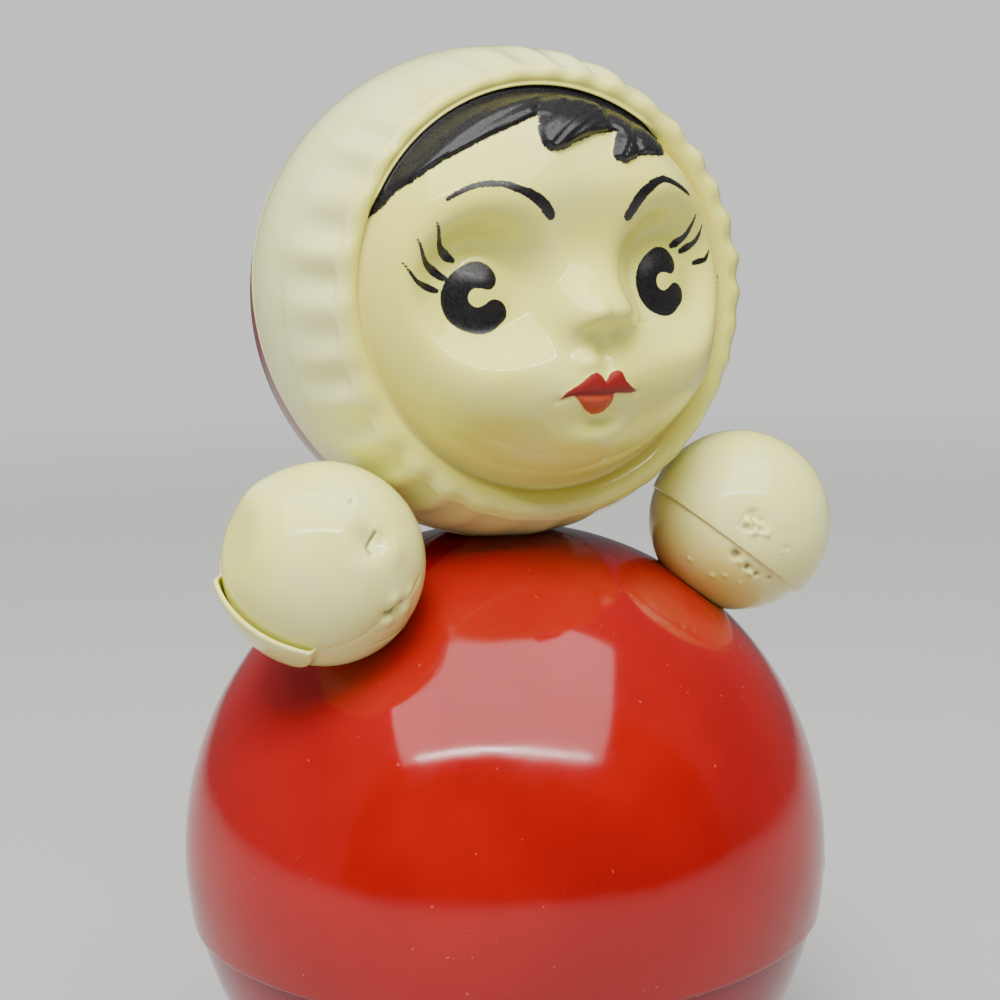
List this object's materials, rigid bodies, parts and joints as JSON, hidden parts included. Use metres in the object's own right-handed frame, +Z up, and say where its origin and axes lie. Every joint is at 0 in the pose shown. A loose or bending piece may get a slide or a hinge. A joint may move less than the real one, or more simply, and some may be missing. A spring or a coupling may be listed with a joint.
{
  "type": "roly-poly doll",
  "caption": "Self-righting ball-bodied doll in a ruffled hood, with glossy red and ivory celluloid shells, a low ballast and a chime that a swinging striker sounds.",
  "frame": {"origin": "centre of the small foot under the body, on the surface that the doll stands on", "axes": "+Z up, the face looks along -Y, the doll's left hand is on +X"},
  "size_m": [0.116, 0.116, 0.1987],
  "materials": {
    "red_upper_shell": "glossy, slightly wavy blow-moulded celluloid",
    "red_lower_shell": "glossy celluloid, a darker red than the upper shell",
    "red_hood_back": "glossy red celluloid",
    "cream_face": "glossy ivory celluloid with hand-painted black hair, brows and eyes and red lips",
    "cream_hand": "glossy ivory celluloid with small dents",
    "plain_celluloid": "unpolished celluloid",
    "cast_ballast": "rough sand-cast iron",
    "spacer_steel": "turned steel",
    "screw_steel": "zinc-plated steel",
    "plate_steel": "rolled sheet steel",
    "strip_steel": "bent strip steel",
    "rivet_aluminium": "headed aluminium",
    "wire_steel": "drawn spring wire",
    "rod_steel": "bright drawn steel",
    "striker_brass": "turned brass"
  },
  "bodies": {
    "doll": {"body_upper_shell": "red_upper_shell", "body_lower_shell": "red_lower_shell", "head_front_shell": "cream_face", "head_back_shell": "red_hood_back", "left_hand_outer_shell": "cream_hand", "left_hand_inner_shell": "cream_hand", "right_hand_outer_shell": "cream_hand", "right_hand_inner_shell": "cream_hand", "neck_tube": "plain_celluloid", "ballast_weight": "cast_ballast", "ballast_keeper_ring": "plain_celluloid", "base_spacers": "spacer_steel", "base_screws": "screw_steel", "chime_plate": "plate_steel", "striker_bridge": "strip_steel", "bridge_rivets": "rivet_aluminium", "chime_rod_1": "rod_steel", "chime_rod_2": "rod_steel", "chime_rod_3": "rod_steel", "chime_rod_4": "rod_steel", "chime_rod_5": "rod_steel", "chime_rod_6": "rod_steel", "chime_rod_7": "rod_steel", "chime_rod_8": "rod_steel"},
    "link": {"striker_link": "wire_steel"},
    "striker": {"striker_wire": "wire_steel", "striker_ball": "striker_brass"}
  },
  "joints": [
    {"name": "link_swing", "type": "hinge", "parent": "doll", "child": "link", "pos_m": [0, 0, 0.08], "axis": [0, 1, 0], "range_deg": [-14, 14]},
    {"name": "striker_swing", "type": "hinge", "parent": "link", "child": "striker", "pos_m": [0, 0, 0.072], "axis": [1, 0, 0], "range_deg": [-17, 17]}
  ]
}
